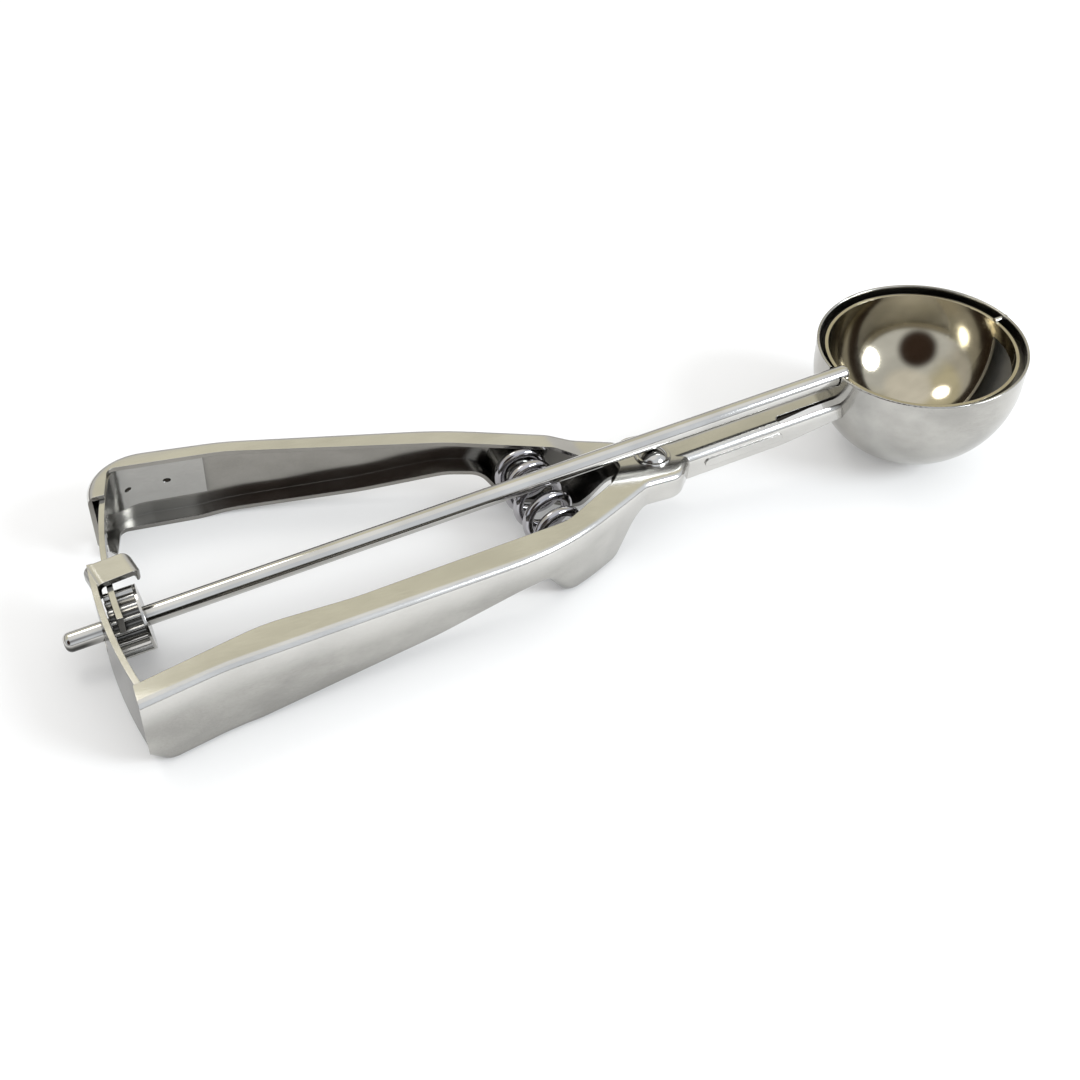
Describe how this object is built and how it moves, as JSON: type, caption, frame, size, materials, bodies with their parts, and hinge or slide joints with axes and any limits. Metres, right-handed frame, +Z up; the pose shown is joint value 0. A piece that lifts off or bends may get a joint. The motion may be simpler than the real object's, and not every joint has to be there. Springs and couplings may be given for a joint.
{
  "type": "lever ice cream scoop",
  "caption": "Stainless steel scoop: squeezing the two sprung handles turns a rack and pinion, whose rod sweeps an ejector blade round the inside of a deep round bowl.",
  "frame": {"origin": "middle of the bounding box's underside, on the surface that the scoop rests on", "axes": "+X to the bowl, +Y to the lever handle, +Z up out of the bowl's mouth"},
  "size_m": [0.2326, 0.0736, 0.0342],
  "materials": {
    "satin_steel": "satin stainless steel",
    "polished_steel": "polished stainless steel",
    "spring_steel": "bright drawn spring wire"
  },
  "bodies": {
    "frame": {"frame_handle": "satin_steel", "bowl": "satin_steel", "pivot_rivet": "polished_steel", "rivet_ring": "polished_steel", "rear_guide_plate": "satin_steel", "frame_spring_seat": "satin_steel", "return_spring": "spring_steel"},
    "lever": {"lever_handle": "satin_steel", "lever_spring_seat": "satin_steel", "rack": "satin_steel"},
    "rotor": {"ejector_rod": "polished_steel", "pinion": "polished_steel", "ejector": "polished_steel", "ejector_pin": "polished_steel"}
  },
  "joints": [
    {"name": "lever_pivot", "type": "hinge", "parent": "frame", "child": "lever", "pos_m": [0.01662, -0.00458, 0.01703], "axis": [0.0152, 0, 0.9999], "range_deg": [0, 8.6], "stiffness_Nm_per_rad": 1.5, "springref_deg": -8.59, "deforming": ["return_spring"]},
    {"name": "ejector_turn", "type": "hinge", "parent": "frame", "child": "rotor", "pos_m": [0.01608, -0.00458, 0.0218], "axis": [0.9937, 0, 0.112], "range_deg": [0, 166.5]}
  ],
  "couplings": [
    {"joint": "ejector_turn", "follows": "lever_pivot", "ratio": 19.333}
  ]
}
